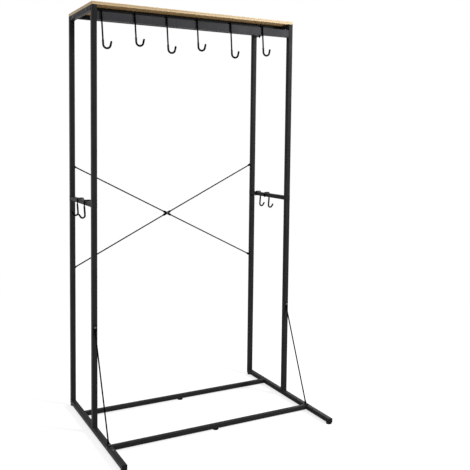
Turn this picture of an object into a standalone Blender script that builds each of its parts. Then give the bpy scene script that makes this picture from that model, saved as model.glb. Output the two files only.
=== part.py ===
"""Free-standing bike storage rack with a wooden top shelf.

Two tube side frames stand on long base rails. Each upright is two tubes, with the middle side bar
between them. The frames are tied by two cross bars at the floor, a hook rail and two shelf rails at the
top, and a pair of crossed rods at the back. Bent steel hooks hang over the hook rail and over the middle
side bars, and slide along them. Metres, +Z up, front towards -Y.
"""
import math

import bmesh
import bpy
from mathutils import Matrix, Vector

# Whole rack
RACK_HEIGHT = 2.100           # floor to the top of the shelf
RACK_WIDTH = 1.129            # over the outer faces of the side frames
RACK_DEPTH = 0.418            # over the front and rear uprights
FRONT_REACH = 0.4375          # base rail ahead of the front uprights
CLEARANCE = 0.0003            # between pieces that touch

# Steel tube
TUBE = 0.022                  # height of the level tubes, and depth of the ones across the rack
SIDE_TUBE = 0.025             # the uprights both ways, and width of the side frames' level tubes
TUBE_WALL = 0.0015
TUBE_CORNER = 0.0015

# Shelf and the rails under it
BOARD_THICKNESS = 0.015
BOARD_EDGE_ROUND = 0.0012
SHELF_RAIL_INSET = 0.080      # from the frame's front or rear face to the shelf rail

# Hook rail
HOOK_RAIL_HEIGHT = 0.040
HOOK_RAIL_DROP = 0.031        # open gap between the shelf and the rail

# Middle side bars and floor cross bars
MIDDLE_BAR_TOP = 1.140
VENT_HOLE_RADIUS = 0.003          # in the closed middle bar, under and over each upright
REAR_CROSS_BAR_SETBACK = 0.220    # bar centre behind the uprights' front faces
FRONT_CROSS_BAR_REACH = 0.2225    # bar centre ahead of the uprights' front faces

# Levelling feet
FOOT_HEIGHT = 0.007           # floor to the underside of the base rail
FOOT_RADIUS = 0.015
FOOT_INSET = 0.015            # foot axis from the end of the base rail
FOOT_STEM_RADIUS = 0.004
FOOT_STEM_REACH = 0.011       # stem inside the tube, above its lower wall
FOOT_HUB_RADIUS = 0.0084
FOOT_RIM_HEIGHT = 0.003
FOOT_EDGE_ROUND = 0.001
CAP_FLANGE = 0.002
CAP_DEPTH = 0.005

# Bolts of the thin braces
BOLT_RADIUS = 0.0029
BOLT_HEAD_RADIUS = 0.0055
BOLT_HEAD_HEIGHT = 0.003
BOLT_CROWN_RADIUS = 0.0028    # flat on top of the head
BOLT_SHOULDER_RADIUS = 0.005
BOLT_SHOULDER_HEIGHT = 0.0018
BOLT_REACH = 0.006            # shank inside the tube, past its wall

# Front hooks, hung over the hook rail
HOOK_ROD_RADIUS = 0.004
HOOK_SLEEVE_RADIUS = 0.005
HOOK_SLEEVE_CAP = 0.0015
HOOK_SLEEVE_STEM = 0.022      # sleeve on the stem above the bend
LONG_HOOK_DROP = 0.177        # rail top to the lowest point of the hook
SHORT_HOOK_DROP = 0.154
HOOK_BACK_LEG = 0.038         # rail top to the end of the leg behind the rail
LAST_BACK_LEG = 0.049         # the same on the last hook
HOOK_BOWL_RADIUS = 0.0185
HOOK_TIP_LEG = 0.017
HOOK_LEAN = math.radians(3.5)
HOOK_TIP_FLARE = math.radians(12)
FIRST_HOOK_GAP = 0.0195       # left upright to the first hook's stem
LEFT_HOOK_PITCH = 0.1675      # among the first four hooks
RIGHT_HOOK_PITCH = 0.193      # among the last three hooks
HOOKS_AT_LEFT_PITCH = 4
HOOK_COUNT = 6

# Side hooks, hung over the middle side bars
SIDE_ROD_RADIUS = 0.003
SIDE_DIP_RADIUS = 0.0045      # with the coating that stem and bowl were dipped in
SIDE_HOOK_DROP = 0.089        # bar top to the lowest point of the hook
SIDE_BACK_LEG = 0.021
SIDE_BOWL_RADIUS = 0.012
SIDE_TIP_LEG = 0.015
SIDE_LEAN = math.radians(-4)
SIDE_TIP_FLARE = math.radians(33)
LEFT_SIDE_HOOK_STATIONS = {"rear": 0.250, "front": 0.124}     # behind the uprights' front faces
RIGHT_SIDE_HOOK_STATIONS = {"rear": 0.330, "front": 0.230}

# Thin braces, round rods with flattened ends
BRACE_ROD_RADIUS = 0.0035
BRACE_TAB_WIDTH = 0.013
BRACE_TAB_THICKNESS = 0.003
BRACE_TAB_LENGTH = 0.024
BRACE_MORPH_LENGTH = 0.012    # from flat to round
FOOT_BRACE_BEND_RUN = 0.0192  # lower bolt to the start of the round rod, along the rail
FOOT_BRACE_BEND_RISE = 0.018
BACK_TAB_REACH = 0.018        # flat past the bolt, towards the rod
BACK_TAB_END = 0.008          # flat past the bolt, towards the rack's side
FOOT_BRACE_TOP = 0.530        # bolt height on the front upright
FOOT_BRACE_REACH = 0.2225     # lower bolt ahead of the uprights' front faces
BACK_BRACE_LOW = 0.745
BACK_BRACE_HIGH = 1.305
CROSSING_FLAT = 0.018         # half length of the flats where the rods cross

# Rounded tips of the hooks, as shares of their radius
TIP_CROWN_HEIGHT = 0.4
TIP_CROWN_RADIUS = 0.6

# Roundness of the meshes
ROD_SIDES = 8
BOLT_SIDES = 8
HOLE_SIDES = 10
FOOT_SIDES = 12
BEND_STEPS = 4
BOWL_STEPS = 10
CORNER_STEPS = 2
ROUND_ANGLE = math.radians(50)    # edges of round pieces under this angle are smooth
FLAT_ANGLE = math.radians(20)     # the same for pieces with flat faces

# Places worked out from the sizes above
BRACE_STACK = CLEARANCE + BRACE_TAB_THICKNESS
CROSSING_STACK = 2 * BRACE_STACK + CLEARANCE + BOLT_HEAD_HEIGHT
FOOT_OVERHANG = FOOT_RADIUS * math.cos(math.pi / FOOT_SIDES) - FOOT_INSET
FRONT_EXTENT = FRONT_REACH + max(FOOT_OVERHANG, 0)
REAR_EXTENT = RACK_DEPTH + max(FOOT_OVERHANG, CROSSING_STACK)
FRONT_Y = (FRONT_EXTENT - REAR_EXTENT) / 2      # front faces of the front uprights
REAR_Y = FRONT_Y + RACK_DEPTH                   # rear faces of the rear uprights
BASE_FRONT_Y = FRONT_Y - FRONT_REACH
OUTER_X = RACK_WIDTH / 2
INNER_X = OUTER_X - SIDE_TUBE
SIDE_X = OUTER_X - SIDE_TUBE / 2
BASE_BOTTOM = FOOT_HEIGHT
BASE_CENTRE = FOOT_HEIGHT + TUBE / 2
BASE_TOP = FOOT_HEIGHT + TUBE
BOARD_BOTTOM = RACK_HEIGHT - BOARD_THICKNESS
TOP_BAR_CENTRE = BOARD_BOTTOM - CLEARANCE - TUBE / 2
MIDDLE_BAR_CENTRE = MIDDLE_BAR_TOP - TUBE / 2
UPRIGHT_SPANS = {"upright": (BASE_TOP, MIDDLE_BAR_TOP - TUBE), "upright_top": (MIDDLE_BAR_TOP, BOARD_BOTTOM)}
HOOK_RAIL_TOP = BOARD_BOTTOM - HOOK_RAIL_DROP
HOOK_RAIL_CENTRE = HOOK_RAIL_TOP - HOOK_RAIL_HEIGHT / 2
HOOK_RAIL_Y = FRONT_Y + TUBE / 2
SHELF_RAIL_YS = {"front": FRONT_Y + SHELF_RAIL_INSET + TUBE / 2,
                 "rear": REAR_Y - SHELF_RAIL_INSET - TUBE / 2}
CROSS_BAR_YS = {"front": FRONT_Y - FRONT_CROSS_BAR_REACH, "rear": FRONT_Y + REAR_CROSS_BAR_SETBACK}
UPRIGHT_YS = {"front": FRONT_Y + SIDE_TUBE / 2, "rear": REAR_Y - SIDE_TUBE / 2}
INNER_CORNER = max(TUBE_CORNER - TUBE_WALL, TUBE_WALL / 4)
BOLT_HOLE = BOLT_RADIUS + CLEARANCE
WALL_CUT = 3 * TUBE_WALL
BRACE_CUT = 4 * BRACE_TAB_THICKNESS
FLAT_SECTION = (BRACE_TAB_WIDTH / 2, BRACE_TAB_THICKNESS / 2)
ROUND_SECTION = (BRACE_ROD_RADIUS, BRACE_ROD_RADIUS)
SIDES = {"left": -1, "right": 1}
ALONG_X = Vector((1, 0, 0))
ALONG_Y = Vector((0, 1, 0))
ALONG_Z = Vector((0, 0, 1))
UPRIGHT_BOLTS = {"front": (FRONT_Y - TUBE_WALL, ALONG_Y, (FOOT_BRACE_TOP,)),
                 "rear": (REAR_Y + TUBE_WALL, -ALONG_Y, (BACK_BRACE_LOW, BACK_BRACE_HIGH))}


def clear_scene():
    """Remove whatever the opened scene holds."""
    for leftover in list(bpy.data.objects):
        bpy.data.objects.remove(leftover, do_unlink=True)


def make_material(name, colour, roughness, metallic=0.0):
    """Principled material in one plain colour."""
    material = bpy.data.materials.new(name)
    material.use_nodes = True
    shader = material.node_tree.nodes["Principled BSDF"]
    shader.inputs["Base Color"].default_value = (*colour, 1)
    shader.inputs["Roughness"].default_value = roughness
    shader.inputs["Metallic"].default_value = metallic
    return material


def add_object(name, mesh, material, location=(0, 0, 0)):
    """Link a mesh as a named object with its own material."""
    piece = bpy.data.objects.new(name, mesh)
    piece.location = location
    bpy.context.scene.collection.objects.link(piece)
    if not mesh.materials:
        mesh.materials.append(material)
    return piece


def mesh_from(builder, name, smooth_angle=None):
    """Turn a bmesh into a mesh with outward faces, smooth where the angle allows."""
    bmesh.ops.recalc_face_normals(builder, faces=builder.faces)
    mesh = bpy.data.meshes.new(name)
    builder.to_mesh(mesh)
    builder.free()
    if smooth_angle is not None:
        mesh.shade_smooth()
        mesh.set_sharp_from_angle(angle=smooth_angle)
    return mesh


def bridge(builder, ring_a, ring_b):
    """Quads between two closed rings of the same count."""
    count = len(ring_a)
    for i in range(count):
        after = (i + 1) % count
        builder.faces.new((ring_a[i], ring_a[after], ring_b[after], ring_b[i]))


def rounded_rectangle(width, height, radius):
    """Corner points of a rectangle with rounded corners, anticlockwise."""
    points = []
    for quarter in range(4):
        angle = quarter * math.pi / 2
        sign_x = 1 if quarter in (0, 3) else -1
        sign_y = 1 if quarter in (0, 1) else -1
        centre_x = sign_x * (width / 2 - radius)
        centre_y = sign_y * (height / 2 - radius)
        for step in range(CORNER_STEPS + 1):
            turn = angle + step * math.pi / 2 / CORNER_STEPS
            points.append((centre_x + radius * math.cos(turn), centre_y + radius * math.sin(turn)))
    return points


def tube_mesh(name, width, height, length):
    """Rectangular tube, open at both ends, centred, its length along local Z."""
    builder = bmesh.new()
    outer = rounded_rectangle(width, height, TUBE_CORNER)
    inner = rounded_rectangle(width - 2 * TUBE_WALL, height - 2 * TUBE_WALL, INNER_CORNER)
    rings = {}
    for end in (-1, 1):
        rings["outer", end] = [builder.verts.new((x, y, end * length / 2)) for x, y in outer]
        rings["inner", end] = [builder.verts.new((x, y, end * length / 2)) for x, y in inner]
        bridge(builder, rings["outer", end], rings["inner", end])
    bridge(builder, rings["outer", -1], rings["outer", 1])
    bridge(builder, rings["inner", -1], rings["inner", 1])
    return mesh_from(builder, name, FLAT_ANGLE)


def add_tube(name, centre, axis, length, material, width=TUBE, height=TUBE):
    """Tube along X, Y or Z. Its height stays vertical on a level tube."""
    piece = add_object(name, tube_mesh(name, width, height, length), material, centre)
    if axis == ALONG_X:
        piece.rotation_euler = (math.pi / 2, 0, math.pi / 2)
    elif axis == ALONG_Y:
        piece.rotation_euler = (math.pi / 2, 0, 0)
    return piece


def add_bar(name, centre, width, height, corner, length, material):
    """Solid bar along Y with rounded edges."""
    builder = bmesh.new()
    outline = rounded_rectangle(width, height, corner)
    rings = [[builder.verts.new((x, y, z)) for x, z in outline] for y in (-length / 2, length / 2)]
    bridge(builder, *rings)
    for ring in rings:
        builder.faces.new(ring)
    return add_object(name, mesh_from(builder, name, FLAT_ANGLE), material, centre)


def turned(builder, profile, matrix, sides):
    """Closed turned solid from (radius, height) points, bottom to top, placed by a matrix."""
    rings = []
    for radius, height in profile:
        ring = []
        for i in range(sides):
            turn = 2 * math.pi * (i + 0.5) / sides
            point = Vector((radius * math.cos(turn), radius * math.sin(turn), height))
            ring.append(builder.verts.new(matrix @ point))
        rings.append(ring)
    for lower, upper in zip(rings, rings[1:]):
        bridge(builder, lower, upper)
    builder.faces.new(rings[0])
    builder.faces.new(rings[-1])


def facing(direction, origin):
    """Matrix that takes local +Z to a direction at a point."""
    return Matrix.Translation(origin) @ direction.to_track_quat("Z", "Y").to_matrix().to_4x4()


def subtract(piece, cutter):
    """Take a hidden cutter out of a piece."""
    cutter.hide_render = True
    cutter.display_type = "WIRE"
    cut = piece.modifiers.new(cutter.name, "BOOLEAN")
    cut.operation = "DIFFERENCE"
    cut.solver = "EXACT"
    cut.object = cutter


def drill(piece, holes):
    """Cut round holes, each given as (start, direction, radius, depth), through one cutter."""
    builder = bmesh.new()
    for start, direction, radius, depth in holes:
        turned(builder, ((radius, 0), (radius, depth)), facing(direction, Vector(start)), HOLE_SIDES)
    name = "cut_" + piece.name
    subtract(piece, add_object(name, mesh_from(builder, name), piece.data.materials[0]))


def frames_along(points, side):
    """Point, side and lift directions at each point, carried along without twist."""
    frames = []
    side = Vector(side)
    for i, point in enumerate(points):
        before = points[max(i - 1, 0)]
        after = points[min(i + 1, len(points) - 1)]
        tangent = (after - before).normalized()
        side = (side - tangent * side.dot(tangent)).normalized()
        frames.append((point, side.copy(), tangent.cross(side)))
    return frames


def section_ring(builder, frame, half_width, half_thickness):
    """One elliptical ring of a rod, its flats at the half sizes."""
    point, side, lift = frame
    across_flats = 1 / math.cos(math.pi / ROD_SIDES)
    ring = []
    for i in range(ROD_SIDES):
        turn = 2 * math.pi * (i + 0.5) / ROD_SIDES
        offset = side * half_width * math.cos(turn) + lift * half_thickness * math.sin(turn)
        ring.append(builder.verts.new(point + offset * across_flats))
    return ring


def rod_mesh(name, frames, sections):
    """Closed rod through the frames, with a (half width, half thickness) pair at each."""
    builder = bmesh.new()
    rings = [section_ring(builder, frame, *section) for frame, section in zip(frames, sections)]
    for lower, upper in zip(rings, rings[1:]):
        bridge(builder, lower, upper)
    builder.faces.new(rings[0])
    builder.faces.new(rings[-1])
    return mesh_from(builder, name, ROUND_ANGLE)


def button_head():
    """Radius and height points of a bolt's domed head, from its crown down to the shank."""
    return [(BOLT_CROWN_RADIUS, -BOLT_HEAD_HEIGHT), (BOLT_SHOULDER_RADIUS, -BOLT_SHOULDER_HEIGHT),
            (BOLT_HEAD_RADIUS, 0), (BOLT_RADIUS, 0)]


def add_bolt(name, seat, direction, material):
    """Bolt through a brace's flat into the tube, its head on the flat's outer face."""
    builder = bmesh.new()
    profile = [*button_head(), (BOLT_RADIUS, CLEARANCE + BRACE_STACK + BOLT_REACH)]
    turned(builder, profile, facing(direction, Vector((0, 0, 0))), BOLT_SIDES)
    place = Vector(seat) - direction * (BRACE_STACK + CLEARANCE)
    return add_object(name, mesh_from(builder, name, ROUND_ANGLE), material, place)


def add_side_frames(steel):
    """Uprights, top bars, middle bars and base rails of both side frames."""
    bar_length = RACK_DEPTH - 2 * SIDE_TUBE - 2 * CLEARANCE
    bar_y = (FRONT_Y + REAR_Y) / 2
    rail_length = RACK_DEPTH + FRONT_REACH - 2 * (CAP_FLANGE + CLEARANCE)
    rail_y = (BASE_FRONT_Y + REAR_Y) / 2
    for side, sign in SIDES.items():
        x = sign * SIDE_X
        add_uprights(side, x, steel)
        add_middle_bar(f"{side}_middle_side_bar", (x, bar_y, MIDDLE_BAR_CENTRE), steel)
        add_tube(f"{side}_top_side_bar", (x, bar_y, TOP_BAR_CENTRE), ALONG_Y, bar_length, steel, SIDE_TUBE)
        rail = add_tube(f"{side}_base_rail", (x, rail_y, BASE_CENTRE), ALONG_Y, rail_length, steel, SIDE_TUBE)
        holes = [foot_hole(x, y) for y in rail_foot_ys()]
        brace_bolt = Vector((x, FRONT_Y - FOOT_BRACE_REACH, BASE_TOP + TUBE_WALL))
        holes.append((brace_bolt, -ALONG_Z, BOLT_HOLE, WALL_CUT))
        drill(rail, holes)


def add_uprights(side, x, steel):
    """Front and rear uprights of one side, each a lower and an upper tube, with their brace bolts' holes."""
    for place, y in UPRIGHT_YS.items():
        hole_y, direction, heights = UPRIGHT_BOLTS[place]
        for part, (low, high) in UPRIGHT_SPANS.items():
            centre = (x, y, (low + high) / 2)
            tube = add_tube(f"{side}_{place}_{part}", centre, ALONG_Z, high - low - 2 * CLEARANCE, steel,
                            SIDE_TUBE, SIDE_TUBE)
            holes = [(Vector((x, hole_y, height)), direction, BOLT_HOLE, WALL_CUT)
                     for height in heights if low < height < high]
            if holes:
                drill(tube, holes)


def add_middle_bar(name, centre, steel):
    """Hollow bar with closed ends, vented into the uprights over and under it."""
    walls = 2 * TUBE_WALL
    bar = add_bar(name, centre, SIDE_TUBE, TUBE, TUBE_CORNER, RACK_DEPTH, steel)
    inside = (SIDE_TUBE - walls, TUBE - walls, INNER_CORNER, RACK_DEPTH - walls)
    subtract(bar, add_bar("inside_" + name, centre, *inside, steel))
    top = MIDDLE_BAR_TOP + TUBE_WALL
    drill(bar, [(Vector((centre[0], y, top)), -ALONG_Z, VENT_HOLE_RADIUS, TUBE + walls)
                for y in UPRIGHT_YS.values()])


def foot_hole(x, y):
    """Hole for a foot's stem in the lower wall of a rail."""
    start = Vector((x, y, BASE_BOTTOM - TUBE_WALL))
    return start, ALONG_Z, FOOT_STEM_RADIUS + CLEARANCE, WALL_CUT


def rail_foot_ys():
    """Foot axes near the two ends of a base rail."""
    return BASE_FRONT_Y + FOOT_INSET, REAR_Y - FOOT_INSET


def add_cross_members(steel, rail_steel):
    """Floor cross bars, shelf rails and the hook rail between the side frames."""
    length = 2 * (INNER_X - CLEARANCE)
    for place, y in CROSS_BAR_YS.items():
        bar = add_tube(f"{place}_cross_bar", (0, y, BASE_CENTRE), ALONG_X, length, steel)
        drill(bar, [foot_hole(0, y)])
    for place, y in SHELF_RAIL_YS.items():
        add_tube(f"{place}_shelf_rail", (0, y, TOP_BAR_CENTRE), ALONG_X, length, steel)
    add_tube("hook_rail", (0, HOOK_RAIL_Y, HOOK_RAIL_CENTRE), ALONG_X, length, rail_steel,
             height=HOOK_RAIL_HEIGHT)


def add_board(wood):
    """Shelf board, flush with the frame."""
    builder = bmesh.new()
    size = Matrix.Diagonal((RACK_WIDTH, RACK_DEPTH, BOARD_THICKNESS, 1))
    bmesh.ops.create_cube(builder, size=1, matrix=size)
    place = (0, (FRONT_Y + REAR_Y) / 2, BOARD_BOTTOM + BOARD_THICKNESS / 2)
    board = add_object("shelf_board", mesh_from(builder, "shelf_board"), wood, place)
    rounding = board.modifiers.new("edge round", "BEVEL")
    rounding.width = BOARD_EDGE_ROUND
    rounding.segments = 2


def hook_points(half_gap, back_leg, straight, lean, depth, bowl_radius, flare, tip_leg, across, opening, bend,
                sleeve_stem=None):
    """Centre line of a hook: leg behind the bar, over its top, down the stem, round the bowl, tip.

    A sleeve stem adds a point that far up the stem, where a sleeve begins.
    """
    points = [-across * half_gap - ALONG_Z * back_leg]
    for corner, first in ((-1, math.pi), (1, math.pi / 2)):
        centre = across * corner * (half_gap - bend) - ALONG_Z * bend
        for step in range(BEND_STEPS + 1):
            turn = first - step * math.pi / 2 / BEND_STEPS
            points.append(centre + across * bend * math.cos(turn) + ALONG_Z * bend * math.sin(turn))
    stem = across * half_gap - ALONG_Z * straight
    points.append(stem)
    down = opening * math.sin(lean) - ALONG_Z * math.cos(lean)
    outward = opening * math.cos(lean) + ALONG_Z * math.sin(lean)
    fall = depth - straight - bowl_radius + bowl_radius * math.sin(lean)
    bowl_start = stem + down * fall / math.cos(lean)
    centre = bowl_start + outward * bowl_radius
    if sleeve_stem is not None:
        points.append(bowl_start - down * sleeve_stem)
    whole_turn = math.pi - flare - lean
    for step in range(BOWL_STEPS + 1):
        turn = whole_turn * step / BOWL_STEPS
        points.append(centre - outward * bowl_radius * math.cos(turn) + down * bowl_radius * math.sin(turn))
    tip_direction = outward * math.sin(whole_turn) + down * math.cos(whole_turn)
    points.append(points[-1] + tip_direction * tip_leg)
    return points


def front_hook_meshes(label, drop, back_leg):
    """Rod and sleeve of a front hook. Their origin is the rod's centre above the rail."""
    seat = CLEARANCE + HOOK_ROD_RADIUS
    bend = TUBE_CORNER + seat
    points = hook_points(TUBE / 2 + seat, back_leg + seat, bend + CLEARANCE, HOOK_LEAN,
                         drop + seat - HOOK_SLEEVE_RADIUS, HOOK_BOWL_RADIUS, HOOK_TIP_FLARE, HOOK_TIP_LEG,
                         -ALONG_Y, ALONG_X, bend, HOOK_SLEEVE_STEM)
    sleeve_first = len(points) - BOWL_STEPS - 3
    sleeve_points = points[sleeve_first:]
    direction = (points[-1] - points[-2]).normalized()
    points[-1] = points[-1] - direction * (HOOK_SLEEVE_CAP + CLEARANCE)
    rod_frames = frames_along(points, ALONG_X)
    rod = rod_mesh(label + "_rod", rod_frames, [(HOOK_ROD_RADIUS, HOOK_ROD_RADIUS)] * len(points))
    sleeve_side = rod_frames[sleeve_first][1]
    return rod, sleeve_mesh(label + "_sleeve", sleeve_points, sleeve_side)


def sleeve_mesh(name, points, side):
    """Sleeve with a blind bore, open at the stem and closed past the rod's tip."""
    builder = bmesh.new()
    frames = frames_along(points, side)
    bore = HOOK_ROD_RADIUS + CLEARANCE
    direction = (points[-1] - points[-2]).normalized()
    outer = [section_ring(builder, frame, HOOK_SLEEVE_RADIUS, HOOK_SLEEVE_RADIUS) for frame in frames]
    inner = [section_ring(builder, frame, bore, bore) for frame in frames[:-1]]
    last_point, last_side, last_lift = frames[-1]
    floor = (last_point - direction * HOOK_SLEEVE_CAP, last_side, last_lift)
    inner.append(section_ring(builder, floor, bore, bore))
    crown = (last_point + direction * HOOK_SLEEVE_RADIUS * TIP_CROWN_HEIGHT, last_side, last_lift)
    crown_radius = HOOK_SLEEVE_RADIUS * TIP_CROWN_RADIUS
    outer.append(section_ring(builder, crown, crown_radius, crown_radius))
    for rings in (outer, inner):
        for lower, upper in zip(rings, rings[1:]):
            bridge(builder, lower, upper)
        builder.faces.new(rings[-1])
    bridge(builder, outer[0], inner[0])
    return mesh_from(builder, name, ROUND_ANGLE)


def front_hook_xs():
    """Stem places of the front hooks, from left to right."""
    places = [-INNER_X + FIRST_HOOK_GAP]
    for number in range(1, HOOK_COUNT):
        pitch = LEFT_HOOK_PITCH if number < HOOKS_AT_LEFT_PITCH else RIGHT_HOOK_PITCH
        places.append(places[-1] + pitch)
    return places


def add_front_hooks(hook_steel, rubber):
    """Six hooks on the hook rail, long and short in turn."""
    long_hook = front_hook_meshes("long_hook", LONG_HOOK_DROP, HOOK_BACK_LEG)
    short_hook = front_hook_meshes("short_hook", SHORT_HOOK_DROP, HOOK_BACK_LEG)
    last_hook = front_hook_meshes("last_hook", SHORT_HOOK_DROP, LAST_BACK_LEG)
    meshes = [long_hook, short_hook] * (HOOK_COUNT // 2 - 1) + [long_hook, last_hook]
    height = HOOK_RAIL_TOP + CLEARANCE + HOOK_ROD_RADIUS
    for number, (x, (rod, sleeve)) in enumerate(zip(front_hook_xs(), meshes), 1):
        hook = add_object(f"front_hook_{number}", rod, hook_steel, (x, HOOK_RAIL_Y, height))
        cover = add_object(f"front_hook_{number}_sleeve", sleeve, rubber)
        cover.parent = hook


def add_side_hooks(hook_steel):
    """Two smaller hooks on each middle side bar, opening outwards."""
    seat = CLEARANCE + SIDE_ROD_RADIUS
    bend = TUBE_CORNER + seat
    for side, sign in SIDES.items():
        outward = sign * ALONG_X
        points = hook_points(SIDE_TUBE / 2 + seat, SIDE_BACK_LEG + seat, TUBE + 2 * seat, SIDE_LEAN,
                             SIDE_HOOK_DROP + seat - SIDE_DIP_RADIUS, SIDE_BOWL_RADIUS, SIDE_TIP_FLARE,
                             SIDE_TIP_LEG, outward, outward, bend)
        dip_start = len(points) - BOWL_STEPS - 3
        points.insert(dip_start + 1, points[dip_start] - ALONG_Z * SIDE_ROD_RADIUS)
        bare = [(SIDE_ROD_RADIUS, SIDE_ROD_RADIUS)] * (dip_start + 1)
        sections = bare + [(SIDE_DIP_RADIUS, SIDE_DIP_RADIUS)] * (len(points) - len(bare))
        tip_direction = (points[-1] - points[-2]).normalized()
        points.append(points[-1] + tip_direction * SIDE_DIP_RADIUS * TIP_CROWN_HEIGHT)
        sections.append((SIDE_DIP_RADIUS * TIP_CROWN_RADIUS, SIDE_DIP_RADIUS * TIP_CROWN_RADIUS))
        mesh = rod_mesh(f"{side}_side_hook", frames_along(points, ALONG_Y), sections)
        stations = LEFT_SIDE_HOOK_STATIONS if side == "left" else RIGHT_SIDE_HOOK_STATIONS
        for place, station in stations.items():
            location = (sign * SIDE_X, FRONT_Y + station, MIDDLE_BAR_TOP + seat)
            add_object(f"{side}_{place}_side_hook", mesh, hook_steel, location)


def add_feet(plastic):
    """Levelling feet under the base rails and cross bars."""
    places = {}
    for side, sign in SIDES.items():
        for place, y in zip(("front", "rear"), rail_foot_ys()):
            places[f"{side}_{place}_foot"] = (sign * SIDE_X, y)
    for place, y in CROSS_BAR_YS.items():
        places[f"{place}_middle_foot"] = (0, y)
    pad_top = FOOT_HEIGHT - CLEARANCE
    profile = ((FOOT_RADIUS - FOOT_EDGE_ROUND, 0), (FOOT_RADIUS, FOOT_EDGE_ROUND),
               (FOOT_RADIUS, FOOT_RIM_HEIGHT), (FOOT_HUB_RADIUS, pad_top), (FOOT_STEM_RADIUS, pad_top),
               (FOOT_STEM_RADIUS, FOOT_HEIGHT + TUBE_WALL + FOOT_STEM_REACH))
    builder = bmesh.new()
    turned(builder, profile, Matrix.Identity(4), FOOT_SIDES)
    foot = mesh_from(builder, "foot", ROUND_ANGLE)
    for name, (x, y) in places.items():
        add_object(name, foot, plastic, (x, y, 0))


def add_end_caps(plastic):
    """Plugs that close the four open ends of the base rails."""
    plug_gap = TUBE_WALL + CLEARANCE
    builder = bmesh.new()
    levels = ((0, TUBE_CORNER, 0), (0, TUBE_CORNER, CAP_FLANGE),
              (plug_gap, TUBE_CORNER / 2, CAP_FLANGE), (plug_gap, TUBE_CORNER / 2, CAP_FLANGE + CAP_DEPTH))
    rings = []
    for inset, corner, depth in levels:
        outline = rounded_rectangle(SIDE_TUBE - 2 * inset, TUBE - 2 * inset, corner)
        rings.append([builder.verts.new((x, depth, z)) for x, z in outline])
    for lower, upper in zip(rings, rings[1:]):
        bridge(builder, lower, upper)
    builder.faces.new(rings[0])
    builder.faces.new(rings[-1])
    mesh = mesh_from(builder, "end_cap", FLAT_ANGLE)
    for side, sign in SIDES.items():
        for place, end_y, turn in (("front", BASE_FRONT_Y, 0), ("rear", REAR_Y, math.pi)):
            cap = add_object(f"{side}_{place}_end_cap", mesh, plastic, (sign * SIDE_X, end_y, BASE_CENTRE))
            cap.rotation_euler.z = turn


def add_foot_braces(steel, bolt_steel):
    """Sloping rods from the front uprights down to the base rails."""
    half = BRACE_TAB_LENGTH / 2
    low_y = FRONT_Y - FOOT_BRACE_REACH
    top_y = FRONT_Y - CLEARANCE - BRACE_TAB_THICKNESS / 2
    low_z = BASE_TOP + CLEARANCE + BRACE_TAB_THICKNESS / 2
    sections = [FLAT_SECTION, FLAT_SECTION, ROUND_SECTION, ROUND_SECTION, FLAT_SECTION, FLAT_SECTION]
    for side, sign in SIDES.items():
        x = sign * SIDE_X
        bend_top = Vector((x, top_y - BRACE_ROD_RADIUS, FOOT_BRACE_TOP - half - BRACE_MORPH_LENGTH))
        rod_low = Vector((x, low_y + FOOT_BRACE_BEND_RUN, low_z + FOOT_BRACE_BEND_RISE))
        slope = (rod_low - bend_top).normalized()
        points = [Vector((x, top_y, FOOT_BRACE_TOP + half)), Vector((x, top_y, FOOT_BRACE_TOP - half)),
                  bend_top + slope * half, rod_low,
                  Vector((x, low_y + half, low_z)), Vector((x, low_y - half, low_z))]
        name = f"{side}_foot_brace"
        brace = add_object(name, rod_mesh(name, frames_along(points, ALONG_X), sections), steel)
        drill(brace, [(Vector((x, FRONT_Y - BRACE_CUT, FOOT_BRACE_TOP)), ALONG_Y, BOLT_HOLE, BRACE_CUT),
                      (Vector((x, low_y, BASE_TOP + BRACE_CUT)), -ALONG_Z, BOLT_HOLE, BRACE_CUT)])
        add_bolt(name + "_upper_bolt", (x, FRONT_Y, FOOT_BRACE_TOP), ALONG_Y, bolt_steel)
        add_bolt(name + "_lower_bolt", (x, low_y, BASE_TOP), -ALONG_Z, bolt_steel)


def back_brace_steps(ends, middle):
    """Points and sections of a back brace: flat at both bolts and at the crossing, round between."""
    along = (ends[1] - ends[0]).normalized()
    outward = {0: -along, 1: along}
    steps = {}
    for index, end in enumerate(ends):
        steps[index] = [(end + outward[index] * BACK_TAB_END, FLAT_SECTION),
                        (end - outward[index] * BACK_TAB_REACH, FLAT_SECTION),
                        (end - outward[index] * (BACK_TAB_REACH + BRACE_MORPH_LENGTH), ROUND_SECTION),
                        (middle + outward[index] * (CROSSING_FLAT + BRACE_MORPH_LENGTH), ROUND_SECTION),
                        (middle + outward[index] * CROSSING_FLAT, FLAT_SECTION)]
    return steps[0] + steps[1][::-1]


def add_back_braces(steel, bolt_steel):
    """Two crossed rods behind the rear uprights, bolted where they cross."""
    plane = REAR_Y + CLEARANCE + BRACE_TAB_THICKNESS / 2
    middle_z = (BACK_BRACE_LOW + BACK_BRACE_HIGH) / 2
    heights = {"falling": (BACK_BRACE_HIGH, BACK_BRACE_LOW, plane),
               "rising": (BACK_BRACE_LOW, BACK_BRACE_HIGH, plane + BRACE_STACK)}
    for label, (left_z, right_z, crossing_y) in heights.items():
        name = label + "_back_brace"
        ends = (Vector((-SIDE_X, plane, left_z)), Vector((SIDE_X, plane, right_z)))
        middle = Vector((0, crossing_y, middle_z))
        steps = back_brace_steps(ends, middle)
        width_direction = (ends[1] - ends[0]).cross(ALONG_Y)
        frames = frames_along([point for point, section in steps], width_direction)
        brace = add_object(name, rod_mesh(name, frames, [section for point, section in steps]), steel)
        drill(brace, [(Vector((point.x, REAR_Y - BRACE_CUT, point.z)), ALONG_Y, BOLT_HOLE, 3 * BRACE_CUT)
                      for point in (*ends, middle)])
        for side, end in zip(SIDES, ends):
            add_bolt(f"{name}_{side}_bolt", (end.x, REAR_Y, end.z), -ALONG_Y, bolt_steel)
    add_crossing_bolt(middle_z, bolt_steel)


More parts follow.
